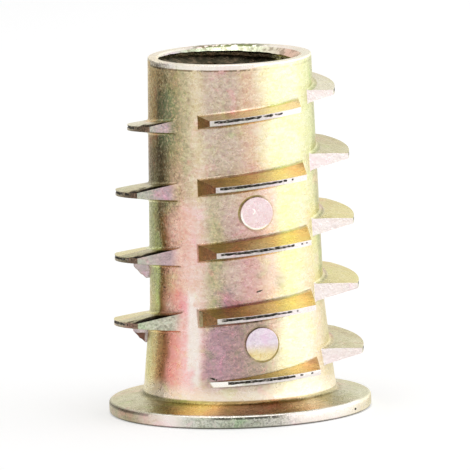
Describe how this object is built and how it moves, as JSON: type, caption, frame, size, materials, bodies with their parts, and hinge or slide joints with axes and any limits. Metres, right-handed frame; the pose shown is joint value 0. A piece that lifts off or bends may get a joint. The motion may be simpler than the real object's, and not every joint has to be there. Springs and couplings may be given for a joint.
{
  "type": "threaded insert",
  "caption": "Flanged screw-in insert for wood, with a broken coarse outer thread, a tapped bore and a hexagon drive socket.",
  "frame": {"origin": "centre of the flange's flat outer face, on which the insert stands", "axes": "+Z along the insert's axis, from the flange towards the open tip; the row of fins that starts the outer thread points along -Y"},
  "size_m": [0.0148, 0.0146, 0.02],
  "materials": {
    "plated_zinc": "die-cast zinc alloy under an iridescent yellow chromate, satin with a fine cast grain"
  },
  "bodies": {
    "root": {"insert": "plated_zinc"}
  },
  "joints": []
}
